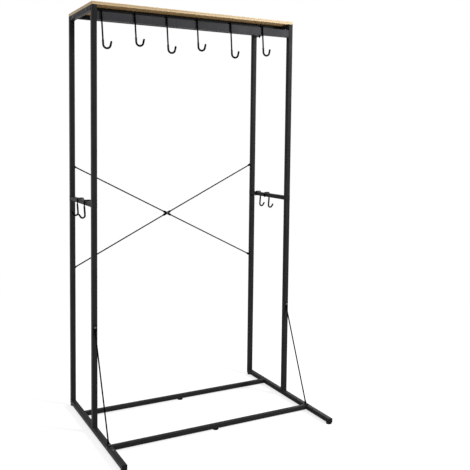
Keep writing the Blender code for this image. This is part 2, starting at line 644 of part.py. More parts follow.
def add_crossing_bolt(middle_z, bolt_steel):
    """Bolt through both flats where the back braces cross, with a nut at its front."""
    nut_start = 2 * BRACE_STACK + CLEARANCE
    profile = [*button_head(), (BOLT_RADIUS, nut_start), (BOLT_HEAD_RADIUS, nut_start),
               (BOLT_HEAD_RADIUS, nut_start + BOLT_HEAD_HEIGHT)]
    seat = Vector((0, REAR_Y + nut_start, middle_z))
    builder = bmesh.new()
    turned(builder, profile, facing(-ALONG_Y, seat), BOLT_SIDES)
    add_object("brace_crossing_bolt", mesh_from(builder, "brace_crossing_bolt", ROUND_ANGLE), bolt_steel)


def build_rack():
    """Model the whole rack."""
    clear_scene()
    frame_steel = make_material("frame_powder_coat", (0.030, 0.030, 0.032), 0.50, 0.2)
    rail_steel = make_material("rail_powder_coat", (0.055, 0.055, 0.058), 0.48, 0.2)
    hook_steel = make_material("hook_black_steel", (0.012, 0.012, 0.013), 0.40, 0.3)
    rubber = make_material("sleeve_rubber", (0.010, 0.010, 0.010), 0.70)
    plastic = make_material("foot_plastic", (0.015, 0.015, 0.015), 0.60)
    bolt_steel = make_material("bolt_black_steel", (0.040, 0.040, 0.042), 0.35, 0.8)
    wood = make_material("oak_board", (0.60, 0.42, 0.24), 0.55)
    add_side_frames(frame_steel)
    add_cross_members(frame_steel, rail_steel)
    add_board(wood)
    add_front_hooks(hook_steel, rubber)
    add_side_hooks(hook_steel)
    add_feet(plastic)
    add_end_caps(plastic)
    add_foot_braces(frame_steel, bolt_steel)
    add_back_braces(frame_steel, bolt_steel)


build_rack()
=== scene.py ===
"""Dressed model of the bike rack: finer pieces, finishes, small fasteners, floor, lights and camera."""

import math

import bmesh
import bpy
from mathutils import Matrix, Vector


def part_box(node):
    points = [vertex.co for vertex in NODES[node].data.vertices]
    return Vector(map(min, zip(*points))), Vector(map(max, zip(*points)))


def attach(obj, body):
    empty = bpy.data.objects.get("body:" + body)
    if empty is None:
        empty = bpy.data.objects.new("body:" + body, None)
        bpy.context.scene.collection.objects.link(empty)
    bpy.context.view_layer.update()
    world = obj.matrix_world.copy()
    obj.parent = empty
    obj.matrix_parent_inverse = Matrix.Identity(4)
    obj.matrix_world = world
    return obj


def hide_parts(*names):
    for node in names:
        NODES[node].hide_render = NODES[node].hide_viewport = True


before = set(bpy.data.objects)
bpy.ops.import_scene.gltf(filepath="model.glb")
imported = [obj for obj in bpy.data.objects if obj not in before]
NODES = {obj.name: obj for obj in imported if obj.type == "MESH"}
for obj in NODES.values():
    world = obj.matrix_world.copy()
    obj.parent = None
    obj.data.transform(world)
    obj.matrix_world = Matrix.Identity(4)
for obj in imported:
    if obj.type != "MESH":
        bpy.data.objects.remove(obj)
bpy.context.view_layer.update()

X, Y, Z = Vector((1, 0, 0)), Vector((0, 1, 0)), Vector((0, 0, 1))
SIDES = {"left": -1, "right": 1}

# Tubes, as in the solids
TUBE = 0.022
SIDE_TUBE = 0.025
WALL = 0.0015
CORNER = 0.0015
INNER_CORNER = WALL / 4
CORNER_STEPS = 6
GAP = 0.0003
OUTER_X = 0.5645
SIDE_X = OUTER_X - SIDE_TUBE / 2
FOOT_HEIGHT = 0.007
RAIL_TOP = FOOT_HEIGHT + TUBE
FRONT_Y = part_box("left_front_upright")[0][1]
REAR_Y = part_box("left_rear_upright")[1][1]

# Hooks, as in the solids
HOOK_ROD_RADIUS = 0.004
FIRST_HOOK_X = -0.520
HOOK_PITCHES = (0.1675, 0.1675, 0.1675, 0.193, 0.193)
LONG_DROP = 0.177
SHORT_DROP = 0.154
HOOK_BACK_LEG = 0.038
LAST_BACK_LEG = 0.049
HOOK_LEAN = math.radians(3.5)
HOOK_FLARE = math.radians(12)
HOOK_BOWL = 0.0185
HOOK_TIP = 0.017
SLEEVE_RADIUS = 0.005
SIDE_ROD_RADIUS = 0.003
SIDE_DIP_RADIUS = 0.0045
SIDE_DROP = 0.089
SIDE_BACK_LEG = 0.021
SIDE_LEAN = math.radians(-4)
SIDE_FLARE = math.radians(33)
SIDE_BOWL = 0.012
SIDE_TIP = 0.0132

# Height of the seam in the board's edge band
BOARD_SEAM = 2.0940

# Thin braces, as in the solids
BRACE_ROD_RADIUS = 0.0035
TAB_HALF_WIDTH = 0.0065
TAB_THICKNESS = 0.003
BRACE_STACK = GAP + TAB_THICKNESS
FOOT_BRACE_TOP = 0.530
FOOT_BRACE_REACH = 0.2225
BACK_LOW = 0.745
BACK_HIGH = 1.305


# Materials

class Surface:
    """A procedural material being put together."""

    def __init__(self, name, roughness, metallic=0.0, specular=0.5):
        self.material = bpy.data.materials.new(name)
        self.material.use_nodes = True
        self.tree = self.material.node_tree
        self.shader = self.tree.nodes["Principled BSDF"]
        self.shader.inputs["Roughness"].default_value = roughness
        self.shader.inputs["Metallic"].default_value = metallic
        self.shader.inputs["Specular IOR Level"].default_value = specular
        self.place = self.tree.nodes.new("ShaderNodeTexCoord").outputs["Object"]

    def node(self, kind, inputs=(), **settings):
        made = self.tree.nodes.new(kind)
        for key, value in settings.items():
            setattr(made, key, value)
        for key, value in dict(inputs).items():
            if isinstance(value, bpy.types.NodeSocket):
                self.tree.links.new(value, made.inputs[key])
            else:
                made.inputs[key].default_value = value
        return made

    def stretched(self, scale):
        return self.node("ShaderNodeMapping", {"Vector": self.place, "Scale": scale}).outputs[0]

    def noise(self, scale, detail=3.0, rough=0.55, where=None, distortion=0.0):
        return self.node("ShaderNodeTexNoise", {
            "Vector": where or self.place, "Scale": scale, "Detail": detail, "Roughness": rough,
            "Distortion": distortion}).outputs["Fac"]

    def ramp(self, factor, stops):
        made = self.node("ShaderNodeValToRGB", {"Fac": factor})
        elements = made.color_ramp.elements
        while len(elements) < len(stops):
            elements.new(0.5)
        for element, (place, colour) in zip(elements, stops):
            element.position = place
            element.color = (*colour, 1)
        return made.outputs["Color"]

    def span(self, factor, low, high, start=0.0, end=1.0):
        return self.node("ShaderNodeMapRange", {
            "Value": factor, "From Min": start, "From Max": end, "To Min": low, "To Max": high}).outputs[0]

    def mix(self, factor, first, second):
        made = self.tree.nodes.new("ShaderNodeMix")
        made.data_type = "RGBA"
        for index, value in ((0, factor), (6, first), (7, second)):
            if isinstance(value, bpy.types.NodeSocket):
                self.tree.links.new(value, made.inputs[index])
            elif index == 0:
                made.inputs[index].default_value = value
            else:
                made.inputs[index].default_value = (*value, 1)
        return made.outputs[2]

    def math(self, how, first, second=0.0):
        made = self.tree.nodes.new("ShaderNodeMath")
        made.operation = how
        for index, value in enumerate((first, second)):
            if isinstance(value, bpy.types.NodeSocket):
                self.tree.links.new(value, made.inputs[index])
            else:
                made.inputs[index].default_value = value
        return made.outputs[0]

    def bump(self, height, distance, strength, under=None):
        inputs = {"Height": height, "Distance": distance, "Strength": strength}
        if under is not None:
            inputs["Normal"] = under
        return self.node("ShaderNodeBump", inputs).outputs["Normal"]

    def feed(self, **sockets):
        for key, value in sockets.items():
            self.tree.links.new(value, self.shader.inputs[key.replace("_", " ")])
        return self.material


def powder_coat(name, dark, light, wear, roughness, specular=0.022):
    """Baked powder paint: fine orange peel, faint clouding, dust on what faces up and rubbed corners."""
    s = Surface(name, roughness, 0.0, specular)
    clouds = s.noise(7.0, 4.0)
    colour = s.ramp(clouds, ((0.30, dark), (0.72, light)))
    speck = s.noise(1600.0, 1.0)
    colour = s.mix(s.span(speck, 0.0, 0.35, 0.62, 0.74), colour, tuple(2.2 * c for c in light))
    edge = s.node("ShaderNodeAttribute", attribute_name="edge").outputs["Fac"]
    rubbed = s.noise(18.0, 6.0, 0.65)
    worn = s.math("MULTIPLY", edge, s.span(rubbed, 0.0, 1.0, 0.58, 0.76))
    colour = s.mix(s.math("MULTIPLY", worn, 0.40), colour, wear)
    normal = s.node("ShaderNodeNewGeometry").outputs["Normal"]
    up = s.node("ShaderNodeSeparateXYZ", {0: normal}).outputs["Z"]
    settled = s.span(s.noise(24.0, 5.0, 0.7), 0.2, 1.0, 0.35, 0.65)
    dust = s.math("MULTIPLY", s.span(up, 0.0, 0.16, 0.4, 1.0), settled)
    colour = s.mix(dust, colour, (0.055, 0.054, 0.052))
    peel = s.noise(420.0, 2.0)
    grain = s.noise(1500.0, 1.5)
    normal = s.bump(peel, 0.00022, 0.45)
    normal = s.bump(grain, 0.00006, 0.5, normal)
    rough = s.span(s.noise(16.0, 4.0), roughness - 0.05, roughness + 0.07, 0.3, 0.7)
    return s.feed(Base_Color=colour, Roughness=rough, Normal=normal)


def coated_rod():
    """Black dipped steel rod, smoother than the frame, with rubbed streaks."""
    s = Surface("hook_black_steel", 0.50, 0.0, specular=0.0)
    streaks = s.noise(30.0, 5.0, 0.65, s.stretched((1.0, 1.0, 0.25)))
    colour = s.ramp(streaks, ((0.35, (0.0012, 0.0012, 0.0013)), (0.75, (0.0030, 0.0030, 0.0032))))
    nicks = s.span(s.noise(260.0, 3.0, 0.7), 0.0, 0.5, 0.68, 0.78)
    colour = s.mix(nicks, colour, (0.025, 0.025, 0.026))
    rough = s.span(streaks, 0.44, 0.60, 0.3, 0.7)
    return s.feed(Base_Color=colour, Roughness=rough, Normal=s.bump(s.noise(700.0, 2.0), 0.0001, 0.35))


def rubber():
    """Matt sleeve with moulding clouds and a fine skin."""
    s = Surface("sleeve_rubber", 0.72, 0.0, specular=0.02)
    colour = s.ramp(s.noise(90.0, 4.0), ((0.3, (0.003, 0.003, 0.0032)), (0.75, (0.0065, 0.0064, 0.0062))))
    rough = s.span(s.noise(140.0, 3.0), 0.62, 0.82, 0.3, 0.7)
    return s.feed(Base_Color=colour, Roughness=rough, Normal=s.bump(s.noise(2200.0, 1.0), 0.00008, 0.6))


def moulded_plastic():
    """Black moulded nylon with a spark-eroded texture and scuffs."""
    s = Surface("foot_plastic", 0.55, 0.0, specular=0.05)
    colour = s.ramp(s.noise(40.0, 4.0), ((0.3, (0.005, 0.005, 0.0053)), (0.75, (0.010, 0.010, 0.010))))
    scuff = s.span(s.noise(120.0, 5.0, 0.75), 0.0, 0.4, 0.6, 0.75)
    colour = s.mix(scuff, colour, (0.05, 0.05, 0.05))
    rough = s.span(s.noise(60.0, 3.0), 0.46, 0.66, 0.3, 0.7)
    return s.feed(Base_Color=colour, Roughness=rough, Normal=s.bump(s.noise(1900.0, 1.0), 0.0001, 0.6))


def bolt_steel():
    """Black-oxide steel, darker in the hollows and bright where a key has touched it."""
    s = Surface("bolt_black_steel", 0.34, 0.85, specular=0.5)
    patina = s.noise(180.0, 4.0)
    colour = s.ramp(patina, ((0.3, (0.028, 0.028, 0.030)), (0.75, (0.060, 0.059, 0.058))))
    edge = s.node("ShaderNodeAttribute", attribute_name="edge").outputs["Fac"]
    colour = s.mix(s.math("MULTIPLY", edge, s.span(s.noise(400.0, 3.0), 0.2, 0.9, 0.35, 0.65)), colour,
                   (0.26, 0.26, 0.27))
    rough = s.span(patina, 0.26, 0.46, 0.3, 0.7)
    return s.feed(Base_Color=colour, Roughness=rough, Normal=s.bump(s.noise(900.0, 2.0), 0.00005, 0.5))


def oak(name, pale, mid, deep, rough_low, rough_high, specular=0.15, seam=False):
    """Oak laminate: long grain, pores, growth bands and slow changes of tone."""
    s = Surface(name, 0.5, 0.0, specular)
    bands = s.noise(5.0, 5.0, 0.6, s.stretched((0.55, 9.0, 9.0)), distortion=1.4)
    fibres = s.noise(42.0, 4.0, 0.6, s.stretched((0.05, 2.4, 2.4)))
    pores = s.noise(150.0, 2.0, 0.5, s.stretched((0.035, 3.0, 3.0)))
    tone = s.noise(1.3, 2.0)
    colour = s.ramp(bands, ((0.28, deep), (0.46, mid), (0.62, pale), (0.80, mid)))
    colour = s.mix(s.span(fibres, 0.0, 0.55, 0.35, 0.75), colour, tuple(0.80 * c for c in mid))
    colour = s.mix(s.span(pores, 0.0, 0.6, 0.60, 0.72), colour, tuple(0.55 * c for c in deep))
    colour = s.mix(s.span(tone, 0.0, 0.30, 0.35, 0.7), colour, tuple(1.12 * c for c in pale))
    if seam:
        above = s.math("SUBTRACT", s.node("ShaderNodeSeparateXYZ", {0: s.place}).outputs["Z"], BOARD_SEAM)
        colour = s.mix(s.span(above, 0.35, 0.0, -0.0020, 0.0010), colour, tuple(0.75 * c for c in mid))
        colour = s.mix(s.span(s.math("ABSOLUTE", above), 0.8, 0.0, 0.0008, 0.0018), colour,
                       tuple(0.6 * c for c in deep))
    rough = s.span(fibres, rough_low, rough_high, 0.3, 0.7)
    normal = s.bump(pores, 0.00010, 0.5)
    normal = s.bump(fibres, 0.00006, 0.5, normal)
    return s.feed(Base_Color=colour, Roughness=rough, Normal=normal)


FRAME_PAINT = powder_coat("frame_powder_coat", (0.0135, 0.0135, 0.0139), (0.0190, 0.0190, 0.0195),
                          (0.038, 0.038, 0.039), 0.38)
BRACE_PAINT = powder_coat("brace_powder_coat", (0.0020, 0.0020, 0.0021), (0.0035, 0.0035, 0.0037),
                          (0.012, 0.012, 0.012), 0.55, specular=0.0)
RAIL_PAINT = powder_coat("rail_powder_coat", (0.025, 0.0252, 0.0280), (0.034, 0.0343, 0.0376),
                         (0.08, 0.08, 0.08), 0.42, specular=0.04)
HOOK_STEEL = coated_rod()
RUBBER = rubber()
PLASTIC = moulded_plastic()
BOLT = bolt_steel()
OAK_TOP = oak("oak_top", (0.60, 0.46, 0.285), (0.52, 0.385, 0.225), (0.42, 0.295, 0.16), 0.40, 0.56)
OAK_EDGE = oak("oak_edge_band", (0.63, 0.488, 0.303), (0.555, 0.414, 0.240), (0.412, 0.292, 0.152),
               0.42, 0.55, seam=True)
# Underside: the same oak laminate, painted darker and browner as shade. This is a painted-shade copy of the
# top's oak, not a different finish.
OAK_UNDER_PAINTED_SHADE = oak("oak_underside_painted_shade", (0.38, 0.235, 0.095), (0.32, 0.19, 0.072), (0.24, 0.14, 0.05), 0.6, 0.74,
                specular=0.1)


# Mesh helpers

def finish_piece(name, builder, material, body="frame", stands_for=None, angle=35):
    """Turn a bmesh into a piece that rides on a body and may stand for a node."""
    bmesh.ops.recalc_face_normals(builder, faces=builder.faces)
    mesh = bpy.data.meshes.new(name)
    builder.to_mesh(mesh)
    builder.free()
    mesh.shade_smooth()
    mesh.set_sharp_from_angle(angle=math.radians(angle))
    mesh.materials.append(material)
    made = bpy.data.objects.new(name, mesh)
    bpy.context.scene.collection.objects.link(made)
    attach(made, body)
    if stands_for:
        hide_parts(stands_for)
    return made


def start():
    builder = bmesh.new()
    return builder, builder.verts.layers.float.new("edge")


def bridge(builder, a, b):
    count = len(a)
    for i in range(count):
        j = (i + 1) % count
        builder.faces.new((a[i], a[j], b[j], b[i]))


def rounded_outline(width, height, radius, steps):
    """(x, y, nearness to a corner) of a rounded rectangle."""
    points = []
    for quarter in range(4):
        sign_x = 1 if quarter in (0, 3) else -1
        sign_y = 1 if quarter in (0, 1) else -1
        for step in range(steps + 1):
            turn = (quarter + step / steps) * math.pi / 2
            points.append((sign_x * (width / 2 - radius) + radius * math.cos(turn),
                           sign_y * (height / 2 - radius) + radius * math.sin(turn),
                           math.sin(math.pi * step / steps)))
    return points


# Rings (shrink, depth) of the groove round a flush plug, and a tube end's broken edge and worn length
PLUG_SEAM = ((0.0012, 0.0), (0.0015, 0.0003), (0.0018, 0.0))
TUBE_LIP = 0.00035
TUBE_WORN = 0.004


def tube_piece(node, material, closed=False):
    """Square tube in a node's box, with rounded corners, its ends open or plugged flush."""
    low, high = (Vector(v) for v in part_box(node))
    size, centre = high - low, (high + low) / 2
    axis = max(range(3), key=lambda i: size[i])
    first, second = [i for i in range(3) if i != axis]
    builder, edge = start()
    outer = rounded_outline(size[first], size[second], CORNER, CORNER_STEPS)
    inner = rounded_outline(size[first] - 2 * WALL, size[second] - 2 * WALL, INNER_CORNER, CORNER_STEPS)

    def ring(outline, shrink, along, wear):
        made = []
        for x, y, near in outline:
            place = centre.copy()
            place[first] += x - math.copysign(shrink, x)
            place[second] += y - math.copysign(shrink, y)
            place[axis] = along
            vert = builder.verts.new(place)
            vert[edge] = near if wear is None else wear
            made.append(vert)
        return made

    a, b = low[axis], high[axis]
    stops = [ring(outer, TUBE_LIP, a, 1.0), ring(outer, 0, a + TUBE_LIP, 1.0),
             ring(outer, 0, a + TUBE_WORN, None), ring(outer, 0, b - TUBE_WORN, None),
             ring(outer, 0, b - TUBE_LIP, 1.0), ring(outer, TUBE_LIP, b, 1.0)]
    if closed:
        for end, inward, at in ((a, 1, 0), (b, -1, len(stops))):
            seam = [ring(outer, shrink, end + inward * depth, 0.4) for shrink, depth in PLUG_SEAM]
            stops[at:at] = seam[::-inward]
        builder.faces.new(stops[0])
        builder.faces.new(stops[-1])
    else:
        stops += [ring(inner, 0, b, 0.3), ring(inner, 0, a, 0.3), stops[0]]
    for p, q in zip(stops, stops[1:]):
        bridge(builder, p, q)
    finish_piece(node + "_tube", builder, material, stands_for=node, angle=25)


def frames_along(points, side):
    frames = []
    side = Vector(side)
    for i, point in enumerate(points):
        tangent = (points[min(i + 1, len(points) - 1)] - points[max(i - 1, 0)]).normalized()
        side = (side - tangent * side.dot(tangent)).normalized()
        frames.append((point, side.copy(), tangent.cross(side)))
    return frames


def sweep(points, sections, side, count, squareness=None):
    """Closed swept body. Sections are (half width, half thickness); squareness bends circle to box."""
    builder, edge = start()
    rings = []
    powers = squareness or [2] * len(points)
    for (point, across, lift), (wide, thick), power in zip(frames_along(points, side), sections, powers):
        ring = []
        for i in range(count):
            turn = 2 * math.pi * i / count
            c, s = math.cos(turn), math.sin(turn)
            x = math.copysign(abs(c) ** (2 / power), c)
            y = math.copysign(abs(s) ** (2 / power), s)
            ring.append(builder.verts.new(point + across * wide * x + lift * thick * y))
        rings.append(ring)
    for a, b in zip(rings, rings[1:]):
        bridge(builder, a, b)
    builder.faces.new(rings[0])
    builder.faces.new(rings[-1])
    return builder


def rounded_tip(points, sections, share_steps=((0.5, 0.92), (0.8, 0.66), (0.97, 0.28))):
    """Add shrinking rings past the last point, so that a rod ends in a dome."""
    direction = (points[-1] - points[-2]).normalized()
    base, (wide, thick) = points[-1], sections[-1]
    for reach, share in share_steps:
        points.append(base + direction * thick * reach)
        sections.append((wide * share, thick * share))


def facing(direction, origin):
    return Matrix.Translation(origin) @ direction.to_track_quat("Z", "Y").to_matrix().to_4x4()


def lathe(builder, edge, profile, matrix, count, shape=None):
    """Turned body from (radius, height, wear) points; shape may change a ring's radius by angle."""
    rings = []
    for radius, height, wear in profile:
        ring = []
        for i in range(count):
            turn = 2 * math.pi * i / count
            r = shape(radius, height, turn) if shape else radius
            vert = builder.verts.new(matrix @ Vector((r * math.cos(turn), r * math.sin(turn), height)))
            vert[edge] = wear
            ring.append(vert)
        rings.append(ring)
    for a, b in zip(rings, rings[1:]):
        bridge(builder, a, b)
    builder.faces.new(rings[0])
    builder.faces.new(rings[-1])


def hexagon_radius(flats, turn):
    """Radius at an angle of a hexagon with that distance from centre to flat."""
    inside = (turn + math.pi / 6) % (math.pi / 3) - math.pi / 6
    return flats / math.cos(inside)


BOLT_HEAD = 0.0055
BOLT_HEIGHT = 0.0030
BOLT_RIM = 0.0004
BOLT_SOCKET = BOLT_HEAD * 0.40
WASHER = 0.0006
# Clearance of a turned piece's first ring from the face it is seated on
SEAT = 0.00002


def button_bolt(name, seat, outward, stands_for=None):
    """Domed socket bolt on a washer, seated on a face that looks outward."""
    builder, edge = start()
    matrix = facing(outward, Vector(seat))
    head, inner = BOLT_HEAD, BOLT_HEAD * 0.55
    lathe(builder, edge, ((head * 0.6, SEAT, 0), (head + 0.0004, SEAT, 0.2), (head + 0.0005, 0.0002, 1),
                          (head + 0.0005, 0.0005, 1), (head + 0.0002, WASHER, 0.5), (head * 0.6, WASHER, 0)),
          matrix, 36)
    tall = BOLT_HEIGHT - WASHER
    profile = [(inner, WASHER, 0), (head * 0.99, WASHER, 0.2), (head, WASHER + BOLT_RIM, 0.8)]
    for step in range(1, 6):
        turn = step / 6 * math.pi / 2
        profile.append((head * (0.55 + 0.45 * math.cos(turn)),
                        WASHER + BOLT_RIM + (tall - BOLT_RIM) * math.sin(turn), 0.25))
    # A radius below zero stands for a hexagon of that size: the key's socket
    profile += [(inner, WASHER + tall, 0.4), (BOLT_SOCKET * 1.22, WASHER + tall, 0.9),
                (-BOLT_SOCKET, WASHER + tall - 0.0002, 1.0), (-BOLT_SOCKET, WASHER + tall * 0.35, 0.0)]

    def shape(radius, _height, turn):
        return radius if radius > 0 else hexagon_radius(-radius, turn)

    lathe(builder, edge, profile, matrix, 36, shape)
    finish_piece(name, builder, BOLT, stands_for=stands_for, angle=30)


# Frame

WELD_MARGIN = 0.0006
WELD_SPACING = 0.0011
WELD_RIPPLE = 0.14
WELD_SIDES = 8
UPRIGHT_WELD = 0.0010
TOP_BAR_WELD = 0.0013
HOOK_RAIL_BOLT_INSET = 0.010
BASE_RAIL_BOLT_REACH = 0.2745


def weld_bead(builder, edge, centre, axis, width, height, reach):
    """Rippled fillet round a tube's end, where it meets another tube."""
    first, second = [i for i in range(3) if i != axis]
    path = rounded_outline(width + WELD_MARGIN, height + WELD_MARGIN, CORNER, CORNER_STEPS)
    dense = []
    for (x0, y0, _), (x1, y1, _) in zip(path, path[1:] + path[:1]):
        parts = max(1, round(math.hypot(x1 - x0, y1 - y0) / WELD_SPACING))
        dense += [(x0 + (x1 - x0) * k / parts, y0 + (y1 - y0) * k / parts) for k in range(parts)]
    rings = []
    for i, (x, y) in enumerate(dense):
        px, py = dense[i - 1]
        nx, ny = dense[(i + 1) % len(dense)]
        along = Vector((nx - px, ny - py)).normalized()
        out = Vector((along.y, -along.x))
        size = reach * (1 - WELD_RIPPLE + WELD_RIPPLE * math.sin(i * 2.1))
        ring = []
        for k in range(WELD_SIDES):
            turn = 2 * math.pi * k / WELD_SIDES
            place = Vector(centre)
            place[first] += x + out.x * size * math.cos(turn)
            place[second] += y + out.y * size * math.cos(turn)
            place[axis] += size * math.sin(turn)
            vert = builder.verts.new(place)
            vert[edge] = 0.15
            ring.append(vert)
        rings.append(ring)
    for a, b in zip(rings, rings[1:] + rings[:1]):
        bridge(builder, a, b)


TUBE_ENDINGS = ("_upright", "_upright_top", "_side_bar", "_base_rail", "_cross_bar", "_shelf_rail")


def dress_frame():
    """Tubes, weld beads and the bolts that tie the side frames together."""
    for node in NODES:
        if node.endswith(TUBE_ENDINGS):
            tube_piece(node, FRAME_PAINT, closed=node.endswith("_middle_side_bar"))
    tube_piece("hook_rail", RAIL_PAINT)
    builder, edge = start()
    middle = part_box("left_middle_side_bar")
    top_bar_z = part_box("left_top_side_bar")[0][2] + TUBE / 2
    for sign in SIDES.values():
        for y in (FRONT_Y + SIDE_TUBE / 2, REAR_Y - SIDE_TUBE / 2):
            for z in (RAIL_TOP, middle[0][2], middle[1][2]):
                weld_bead(builder, edge, (sign * SIDE_X, y, z), 2, SIDE_TUBE, SIDE_TUBE, UPRIGHT_WELD)
        for y in (FRONT_Y + SIDE_TUBE, REAR_Y - SIDE_TUBE):
            weld_bead(builder, edge, (sign * SIDE_X, y, top_bar_z), 1, SIDE_TUBE, TUBE, TOP_BAR_WELD)
    finish_piece("weld_beads", builder, FRAME_PAINT, angle=60)
    for side, sign in SIDES.items():
        out = X * sign
        for place in ("front", "rear"):
            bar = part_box(place + "_cross_bar")
            y, z = (bar[0][1] + bar[1][1]) / 2, (bar[0][2] + bar[1][2]) / 2
            button_bolt(f"{side}_{place}_cross_bar_bolt", (sign * OUTER_X, y, z), out)
            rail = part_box(place + "_shelf_rail")
            y, z = (rail[0][1] + rail[1][1]) / 2, (rail[0][2] + rail[1][2]) / 2
            button_bolt(f"{side}_{place}_shelf_rail_bolt", (sign * OUTER_X, y, z), out)
        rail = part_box("hook_rail")
        y = (rail[0][1] + rail[1][1]) / 2
        heights = {"upper": rail[1][2] - HOOK_RAIL_BOLT_INSET, "lower": rail[0][2] + HOOK_RAIL_BOLT_INSET}
        for label, z in heights.items():
            button_bolt(f"{side}_hook_rail_{label}_bolt", (sign * OUTER_X, y, z), out)
        button_bolt(f"{side}_base_rail_bolt", (sign * SIDE_X, FRONT_Y - BASE_RAIL_BOLT_REACH, RAIL_TOP), Z)


BOARD_ROUNDING = 0.0012
# Faces whose normal rises or falls by more than this are the board's top or underside
FACE_TILT = 0.7
SCREW_PLACES = (-0.42, -0.14, 0.14, 0.42)
SCREW_HEAD = ((0.0036, SEAT, 0.3), (0.0036, 0.0006, 1), (0.0026, 0.0015, 0.5), (0.0010, 0.0019, 0.3),
              (0.0009, 0.0012, 0.0))


def dress_board():
    """Laminated board with its edge band, and the screws that hold it from below."""
    low, high = (Vector(v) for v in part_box("shelf_board"))
    size, centre = high - low, (high + low) / 2
    builder = bmesh.new()
    bmesh.ops.create_cube(builder, size=1, matrix=Matrix.Translation(centre) @ Matrix.Diagonal((*size, 1)))
    bmesh.ops.bevel(builder, geom=list(builder.edges), offset=BOARD_ROUNDING, segments=4, profile=0.5,
                    affect="EDGES")
    made = finish_piece("shelf_board_laminate", builder, OAK_TOP, stands_for="shelf_board", angle=40)
    made.data.materials.append(OAK_EDGE)
    made.data.materials.append(OAK_UNDER_PAINTED_SHADE)
    for face in made.data.polygons:
        # Faces turned down take the painted-shade copy of the oak.
        if face.normal.z < -FACE_TILT:
            face.material_index = 2
        elif face.normal.z < FACE_TILT:
            face.material_index = 1
    builder, edge = start()
    for x in SCREW_PLACES:
        for node in ("front_shelf_rail", "rear_shelf_rail"):
            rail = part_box(node)
            place = Vector((x, (rail[0][1] + rail[1][1]) / 2, rail[0][2]))
            lathe(builder, edge, SCREW_HEAD, facing(-Z, place), 20)
    finish_piece("shelf_screws", builder, BOLT, angle=40)


# Hooks

BOWL_STEPS = 28
STEM_STOPS = 4


def hook_path(half_gap, back_leg, straight, lean, depth, bowl, flare, tip, across, opening, bend):
    """Centre line of a hook, as in the solids but finer, and the index where its bowl starts.

    The last STEM_STOPS points before the bowl lie along the stem.
    """
    points = [-across * half_gap - Z * back_leg, -across * half_gap - Z * (back_leg * 0.5 + bend * 0.5)]
    for corner, first in ((-1, math.pi), (1, math.pi / 2)):
        centre = across * corner * (half_gap - bend) - Z * bend
        for step in range(9):
            turn = first - step * math.pi / 16
            points.append(centre + across * bend * math.cos(turn) + Z * bend * math.sin(turn))
    stem = across * half_gap - Z * straight
    points.append(stem)
    down = opening * math.sin(lean) - Z * math.cos(lean)
    outward = opening * math.cos(lean) + Z * math.sin(lean)
    fall = depth - straight - bowl + bowl * math.sin(lean)
    begin = stem + down * fall / math.cos(lean)
    for back in (0.5, 0.25):
        points.append(stem.lerp(begin, 1 - back))
    points.append(begin - down * 0.022)
    points.append(begin - down * 0.006)
    first_bowl = len(points)
    centre = begin + outward * bowl
    whole = math.pi - flare - lean
    for step in range(BOWL_STEPS + 1):
        turn = whole * step / BOWL_STEPS
        points.append(centre - outward * bowl * math.cos(turn) + down * bowl * math.sin(turn))
    direction = outward * math.sin(whole) + down * math.cos(whole)
    points.append(points[-1] + direction * tip * 0.5)
    points.append(points[-1] + direction * tip * 0.5)
    return points, first_bowl


# Domed end of a front hook's back leg, from its tip: (reach, share of the radius)
BACK_TIP = ((0.95, 0.3), (0.75, 0.68), (0.4, 0.93))
# Rolled lips, from the mouth: (reach in metres, share of the radius)
SLEEVE_LIP = ((0.0, 0.87), (0.0004, 1.06), (0.0011, 1.12), (0.0018, 1.08), (0.0024, 1.0))
DIP_LIP = ((0.0006, 0.72), (0.0014, 0.88), (0.0022, 0.96), (0.0030, 1.0))


def dress_front_hooks():
    """Smooth bent rods and their rubber sleeves."""
    seat = GAP + HOOK_ROD_RADIUS
    bend = CORNER + seat
    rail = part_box("hook_rail")
    rail_y = (rail[0][1] + rail[1][1]) / 2
    for number in range(1, 7):
        node = f"front_hook_{number}"
        drop = LONG_DROP if number % 2 else SHORT_DROP
        back_leg = LAST_BACK_LEG if number == 6 else HOOK_BACK_LEG
        points, bowl = hook_path(TUBE / 2 + seat, back_leg + seat, bend + GAP, HOOK_LEAN,
                                 drop + seat - SLEEVE_RADIUS, HOOK_BOWL, HOOK_FLARE, HOOK_TIP, -Y, X, bend)
        origin = Vector((FIRST_HOOK_X + sum(HOOK_PITCHES[:number - 1]), rail_y, rail[1][2] + seat))
        points = [origin + p for p in points]
        cover = points[bowl - 2:]
        rod = points[:-1]
        outward = (rod[0] - rod[1]).normalized()
        dome = [rod[0] + outward * HOOK_ROD_RADIUS * reach for reach, _ in BACK_TIP]
        radii = [HOOK_ROD_RADIUS * share for _, share in BACK_TIP] + [HOOK_ROD_RADIUS] * len(rod)
        sections = [(radius, radius) for radius in radii]
        rod = dome + rod
        finish_piece(node + "_rod", sweep(rod, sections, X, 20), HOOK_STEEL, node, node, 50)
        dress_sleeve(node, cover)


def dress_sleeve(node, cover):
    """Dipped sleeve: rolled lip at its mouth, even wall, domed end."""
    mouth, after = cover[0], cover[1]
    down = (after - mouth).normalized()
    points = [mouth + down * reach for reach, _ in SLEEVE_LIP]
    radii = [SLEEVE_RADIUS * share for _, share in SLEEVE_LIP]
    points += cover[1:]
    radii += [SLEEVE_RADIUS] * len(cover[1:])
    sections = [(radius, radius) for radius in radii]
    rounded_tip(points, sections, ((0.3, 0.97), (0.6, 0.82), (0.8, 0.6), (0.92, 0.3)))
    builder = sweep(points, sections, X, 24)
    finish_piece(node + "_sleeve_skin", builder, RUBBER, node, node + "_sleeve", 50)


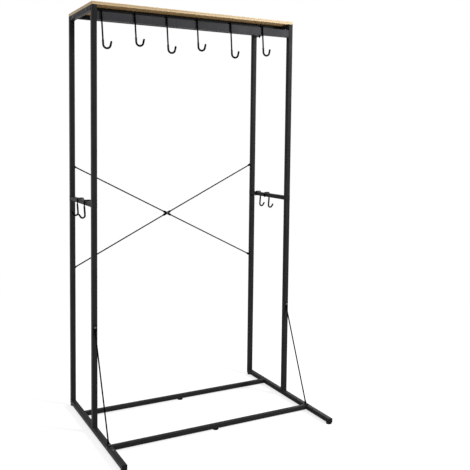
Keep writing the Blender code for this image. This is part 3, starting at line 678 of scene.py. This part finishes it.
def dress_side_hooks():
    """Small hooks over the middle side bars, dipped below the bar."""
    seat = GAP + SIDE_ROD_RADIUS
    bend = CORNER + seat
    bar_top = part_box("left_middle_side_bar")[1][2]
    for side, sign in SIDES.items():
        out = X * sign
        for place in ("front", "rear"):
            node = f"{side}_{place}_side_hook"
            low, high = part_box(node)
            points, bowl = hook_path(SIDE_TUBE / 2 + seat, SIDE_BACK_LEG + seat, TUBE + 2 * seat, SIDE_LEAN,
                                     SIDE_DROP + seat - SIDE_DIP_RADIUS, SIDE_BOWL, SIDE_FLARE, SIDE_TIP,
                                     out, out, bend)
            bare = bowl - STEM_STOPS
            del points[bare:bowl]
            origin = Vector((sign * SIDE_X, (low[1] + high[1]) / 2, bar_top + seat))
            stem, down = points[bare - 1], (points[bare] - points[bare - 1]).normalized()
            lip = [stem + down * reach for reach, _ in DIP_LIP]
            sections = [(SIDE_ROD_RADIUS, SIDE_ROD_RADIUS)] * bare
            sections += [(SIDE_DIP_RADIUS * share, SIDE_DIP_RADIUS * share) for _, share in DIP_LIP]
            points = [origin + p for p in points[:bare] + lip + points[bare:]]
            sections += [(SIDE_DIP_RADIUS, SIDE_DIP_RADIUS)] * (len(points) - len(sections))
            rounded_tip(points, sections)
            points.reverse()
            sections.reverse()
            rounded_tip(points, sections)
            finish_piece(node + "_rod", sweep(points, sections, Y, 20), HOOK_STEEL, node, node, 50)


# Feet and caps

# Foot pad from its sole up, and cap from its face in: (radius, height, wear) and (shrink, depth, wear)
PAD_TOP = 0.0067
PAD_PROFILE = ((0.0122, 0.0009, 0), (0.0139, 0.0, 0.4), (0.0146, 0.0005, 1), (0.0149, 0.0013, 1),
               (0.0149, 0.0026, 1), (0.0143, 0.0034, 0.6), (0.0130, 0.0038, 0), (0.0111, 0.0043, 0),
               (0.0094, 0.0052, 0), (0.0086, 0.0062, 0.5), (0.0082, PAD_TOP, 0.5), (0.0040, PAD_TOP, 0))
RIBS = 30
RIB_DEPTH = 0.00045
RIBBED_RADIUS = 0.0137
RIBBED_HEIGHT = 0.0038
CAP_RINGS = ((0.0022, 0.0, 0.1), (0.0009, 0.0003, 0.9), (0.0002, 0.0009, 1.0), (0.0, 0.0016, 0.4),
             (0.0, 0.0020, 0.6), (0.0018, 0.0020, 0), (0.0020, 0.0068, 0))
CAP_CORNER = 0.0006


def dress_feet():
    """Ribbed levelling pads."""
    def ribbed(radius, height, turn):
        if radius < RIBBED_RADIUS or height > RIBBED_HEIGHT:
            return radius
        return radius - RIB_DEPTH * (0.5 + 0.5 * math.cos(turn * RIBS))

    for node in NODES:
        if node.endswith("_foot"):
            low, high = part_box(node)
            builder, edge = start()
            place = Matrix.Translation(((low[0] + high[0]) / 2, (low[1] + high[1]) / 2, 0))
            lathe(builder, edge, PAD_PROFILE, place, 120, ribbed)
            finish_piece(node + "_pad", builder, PLASTIC, node, node, 40)


def dress_caps():
    """Plugs with a rounded face in the ends of the base rails."""
    for side, sign in SIDES.items():
        for place, facing_y in (("front", -1), ("rear", 1)):
            node = f"{side}_{place}_end_cap"
            low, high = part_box(node)
            end = low[1] if facing_y < 0 else high[1]
            builder, edge = start()
            rings = []
            for shrink, depth, wear in CAP_RINGS:
                ring = []
                for x, z, _ in rounded_outline(SIDE_TUBE - 2 * shrink, TUBE - 2 * shrink,
                                               max(CORNER - shrink, CAP_CORNER), CORNER_STEPS):
                    vert = builder.verts.new((sign * SIDE_X + x, end - facing_y * depth,
                                              RAIL_TOP - TUBE / 2 + z))
                    vert[edge] = wear
                    ring.append(vert)
                rings.append(ring)
            for a, b in zip(rings, rings[1:]):
                bridge(builder, a, b)
            builder.faces.new(rings[0])
            builder.faces.new(rings[-1])
            finish_piece(node + "_plug", builder, PLASTIC, stands_for=node, angle=30)


# Braces

FLAT_SQUARENESS = 5.0
FLAT = (TAB_HALF_WIDTH, TAB_THICKNESS / 2, FLAT_SQUARENESS)
ROUND = (BRACE_ROD_RADIUS, BRACE_ROD_RADIUS, 2.0)
FOOT_TAB = 0.012
FOOT_BEND_DROP = 0.024
FOOT_BEND_BACK = 0.0192
FOOT_BEND_RISE = 0.018
BACK_TAB = 0.008
BACK_FLAT_END = 0.018
BACK_ROUND_START = 0.030
MORPH_STEPS = 8


def morph(points_sections):
    """Fill in between (point, width, thickness, squareness) stops with smooth steps."""
    points, sections, squares = [], [], []
    for (p0, w0, t0, q0), (p1, w1, t1, q1) in zip(points_sections, points_sections[1:]):
        changing = abs(w0 - w1) > 1e-6
        steps = MORPH_STEPS if changing else 2
        for k in range(steps):
            u = k / steps
            e = u * u * (3 - 2 * u) if changing else u
            points.append(p0.lerp(p1, u))
            sections.append((w0 + (w1 - w0) * e, t0 + (t1 - t0) * e))
            squares.append(q0 + (q1 - q0) * e)
    p, w, t, q = points_sections[-1]
    points.append(p)
    sections.append((w, t))
    squares.append(q)
    return points, sections, squares


def tab_end(centre, outward, reach):
    """Stops of a flat that ends in a rounded outline past its bolt."""
    stops = []
    for share in (1.0, 0.97, 0.88, 0.72, 0.5, 0.25):
        width = TAB_HALF_WIDTH * math.sqrt(max(1 - share * share, 0.004))
        stops.append((centre + outward * reach * share, width, TAB_THICKNESS / 2, FLAT_SQUARENESS))
    stops.append((centre, *FLAT))
    return stops


def dress_foot_braces():
    """Rods from the front uprights to the base rails, their ends hammered flat and bent."""
    thin = GAP + TAB_THICKNESS / 2
    low_y, top_y, low_z = FRONT_Y - FOOT_BRACE_REACH, FRONT_Y - thin, RAIL_TOP + thin
    for side, sign in SIDES.items():
        x = sign * SIDE_X
        node = side + "_foot_brace"
        bend_top = Vector((x, top_y - BRACE_ROD_RADIUS, FOOT_BRACE_TOP - FOOT_BEND_DROP))
        rod_low = Vector((x, low_y + FOOT_BEND_BACK, low_z + FOOT_BEND_RISE))
        slope = (rod_low - bend_top).normalized()
        top = Vector((x, top_y, FOOT_BRACE_TOP))
        foot = Vector((x, low_y, low_z))
        stops = tab_end(top, Z, FOOT_TAB)
        stops += [(top - Z * FOOT_TAB, *FLAT), (bend_top + slope * FOOT_TAB, *ROUND), (rod_low, *ROUND)]
        stops += [(foot + Y * FOOT_TAB, *FLAT)] + tab_end(foot, -Y, FOOT_TAB)[::-1]
        points, sections, squares = morph(stops)
        finish_piece(node + "_rod", sweep(points, sections, X, 24, squares), BRACE_PAINT,
                     stands_for=node, angle=40)
        button_bolt(f"{node}_upper_bolt_head", (x, FRONT_Y - BRACE_STACK, FOOT_BRACE_TOP), -Y,
                    stands_for=f"{node}_upper_bolt")
        button_bolt(f"{node}_lower_bolt_head", (x, low_y, RAIL_TOP + BRACE_STACK), Z,
                    stands_for=f"{node}_lower_bolt")


def dress_back_braces():
    """Crossed rods behind the uprights."""
    plane = REAR_Y + GAP + TAB_THICKNESS / 2
    middle_z = (BACK_LOW + BACK_HIGH) / 2
    for label, left_z, right_z, cross_y in (("falling", BACK_HIGH, BACK_LOW, plane),
                                            ("rising", BACK_LOW, BACK_HIGH, plane + BRACE_STACK)):
        node = label + "_back_brace"
        ends = (Vector((-SIDE_X, plane, left_z)), Vector((SIDE_X, plane, right_z)))
        middle = Vector((0, cross_y, middle_z))
        along = (ends[1] - ends[0]).normalized()
        halves = []
        for end, out in ((ends[0], -along), (ends[1], along)):
            halves.append(tab_end(end, out, BACK_TAB) + [
                (end - out * BACK_FLAT_END, *FLAT), (end - out * BACK_ROUND_START, *ROUND),
                (middle + out * BACK_ROUND_START, *ROUND), (middle + out * BACK_FLAT_END, *FLAT)])
        points, sections, squares = morph(halves[0] + halves[1][::-1])
        finish_piece(node + "_rod", sweep(points, sections, along.cross(Y), 24, squares), BRACE_PAINT,
                     stands_for=node, angle=40)
        for side, end in zip(SIDES, ends):
            button_bolt(f"{node}_{side}_bolt_head", (end.x, REAR_Y + BRACE_STACK, end.z), Y,
                        stands_for=f"{node}_{side}_bolt")
    button_bolt("brace_crossing_bolt_head", (0, REAR_Y + 2 * BRACE_STACK, middle_z), Y,
                stands_for="brace_crossing_bolt")
    dress_crossing_nut(middle_z)


NUT_HEIGHT = 0.0030
NUT_PROFILE = ((0.0030, SEAT, 0.2), (0.0047, 0.0, 0.6), (0.0050, 0.0004, 1), (0.0050, 0.0027, 1),
               (0.0046, NUT_HEIGHT, 1), (0.0029, NUT_HEIGHT, 0.4))
NUT_FLATS = 0.92
NUT_HEXAGON_FROM = 0.0045
THREAD_PITCH = 0.0005
THREAD_END = ((0.0022, 0.0057, 0.8), (0.0012, 0.0058, 0.5))


def dress_crossing_nut(height):
    """Nut and thread end in front of the back braces' crossing."""
    builder, edge = start()
    place = facing(-Y, Vector((0, REAR_Y + GAP, height)))

    def hexagon(radius, _height, turn):
        return hexagon_radius(radius * NUT_FLATS, turn) if radius > NUT_HEXAGON_FROM else radius

    lathe(builder, edge, NUT_PROFILE, place, 36, hexagon)
    stem = [(0.0026, 0.0029, 0.2)]
    for turn in range(5):
        base = NUT_HEIGHT + turn * THREAD_PITCH
        stem += [(0.0028, base, 0.8), (0.0024, base + THREAD_PITCH / 2, 0.1)]
    lathe(builder, edge, (*stem, *THREAD_END), place, 24)
    finish_piece("brace_crossing_nut", builder, BOLT, angle=30)


# Stage, light and camera

WORLD_AMBIENT = 0.40
FLOOR_HALF = 40
FLOOR_Z = -0.0004
FLOOR_COLOUR = 0.70
FLOOR_GLOW = 0.73
FLOOR_LIT = 0.36
FLOOR_FADE = (1.3, 4.0)
SEES_WHITE = ("Is Camera Ray", "Is Glossy Ray", "Is Transmission Ray")


def looked_at(tree, kinds):
    """Factor that is 1 for the named kinds of ray."""
    paths = tree.nodes.new("ShaderNodeLightPath")
    total = paths.outputs[kinds[0]]
    for kind in kinds[1:]:
        join = tree.nodes.new("ShaderNodeMath")
        join.operation = "MAXIMUM"
        tree.links.new(total, join.inputs[0])
        tree.links.new(paths.outputs[kind], join.inputs[1])
        total = join.outputs[0]
    return total


def blended(tree, factor, first, second):
    """Colour or grey that goes from first to second with a factor."""
    mix = tree.nodes.new("ShaderNodeMix")
    mix.data_type = "RGBA"
    tree.links.new(factor, mix.inputs[0])
    for index, value in ((6, first), (7, second)):
        if isinstance(value, bpy.types.NodeSocket):
            tree.links.new(value, mix.inputs[index])
        else:
            mix.inputs[index].default_value = (value, value, value, 1)
    return mix.outputs[2]


def make_world():
    """White to the camera and in reflections, grey as ambient light."""
    world = bpy.data.worlds.new("studio")
    bpy.context.scene.world = world
    world.use_nodes = True
    tree = world.node_tree
    seen = looked_at(tree, SEES_WHITE)
    tree.links.new(blended(tree, seen, WORLD_AMBIENT, 1.0), tree.nodes["Background"].inputs["Color"])


def make_floor():
    """Pale floor that keeps the shadow and fades into the white surroundings."""
    mesh = bpy.data.meshes.new("floor")
    corners = [(x * FLOOR_HALF, y * FLOOR_HALF, FLOOR_Z) for x, y in ((-1, -1), (1, -1), (1, 1), (-1, 1))]
    mesh.from_pydata(corners, [], [(0, 1, 2, 3)])
    floor = bpy.data.objects.new("floor", mesh)
    bpy.context.scene.collection.objects.link(floor)
    paint = Surface("floor_white", 0.9, specular=0.0)
    tree = paint.tree
    seen = looked_at(tree, SEES_WHITE)
    distance = paint.node("ShaderNodeVectorMath", {0: paint.place}, operation="LENGTH").outputs["Value"]
    far = paint.span(distance, 0.0, 1.0, *FLOOR_FADE)
    base = blended(tree, far, FLOOR_LIT, 0.0)
    glow = blended(tree, far, FLOOR_GLOW, 1.0)
    tree.links.new(blended(tree, seen, FLOOR_COLOUR, base), paint.shader.inputs["Base Color"])
    tree.links.new(blended(tree, seen, 0.0, glow), paint.shader.inputs["Emission Color"])
    paint.shader.inputs["Emission Strength"].default_value = 1.0
    mesh.materials.append(paint.material)


def add_area(name, place, target, size, power):
    lamp = bpy.data.lights.new(name, "AREA")
    lamp.shape = "DISK"
    lamp.size = size
    lamp.energy = power
    made = bpy.data.objects.new(name, lamp)
    made.location = place
    made.rotation_mode = "QUATERNION"
    made.rotation_quaternion = (Vector(target) - Vector(place)).to_track_quat("-Z", "Y")
    bpy.context.scene.collection.objects.link(made)


def make_lights():
    """Broad key at the left, small fill at the front right, soft top light and two faint rear ones."""
    add_area("key", (-4.2, -2.7, 1.3), (0, 0, 0.5), 3.0, 64)
    add_area("fill", (2.5, -2.7, 2.5), (0.3, 0, 1.4), 0.8, 152)
    add_area("top", (0.0, 0.6, 5.0), (0, 0, 1.0), 3.5, 70)
    add_area("rear", (3.8, 3.0, 0.9), (0, 0, 1.2), 2.4, 50)
    add_area("sheen", (-2.9, 3.8, 1.4), (-0.5, 0, 1.1), 2.4, 10)


# The camera as fitted to the photograph. Picture size, focal length and centre row are in pixels
PICTURE = 470
FOCAL_LENGTH = 685.53
CENTRE_ROW = 183.025
SENSOR = 36
CAMERA_AZIMUTH = math.radians(-28.3732)
CAMERA_PITCH = math.radians(-3.8222)
CAMERA_ROLL = math.radians(0.6729)
CAMERA_PLACE = (-1.5213, -3.2141 + FRONT_Y, 1.4644)


def make_camera():
    """The photograph's viewpoint."""
    azimuth, pitch, roll = CAMERA_AZIMUTH, CAMERA_PITCH, CAMERA_ROLL
    level = Vector((-math.sin(azimuth), math.cos(azimuth), 0))
    forward = level * math.cos(pitch) + Z * math.sin(pitch)
    right = Vector((math.cos(azimuth), math.sin(azimuth), 0))
    up = right.cross(forward)
    side = right * math.cos(roll) + up * math.sin(roll)
    lift = up * math.cos(roll) - right * math.sin(roll)
    data = bpy.data.cameras.new("camera")
    data.lens = FOCAL_LENGTH / PICTURE * SENSOR
    data.shift_y = (CENTRE_ROW - PICTURE / 2) / PICTURE
    data.clip_start, data.clip_end = 0.05, 200
    camera = bpy.data.objects.new("camera", data)
    place = Matrix((side, lift, -forward)).transposed().to_4x4()
    place.translation = CAMERA_PLACE
    camera.matrix_world = place
    bpy.context.scene.collection.objects.link(camera)
    bpy.context.scene.camera = camera


dress_frame()
dress_board()
dress_front_hooks()
dress_side_hooks()
dress_feet()
dress_caps()
dress_foot_braces()
dress_back_braces()
make_world()
make_floor()
make_lights()
make_camera()
bpy.context.scene.view_settings.view_transform = "Standard"
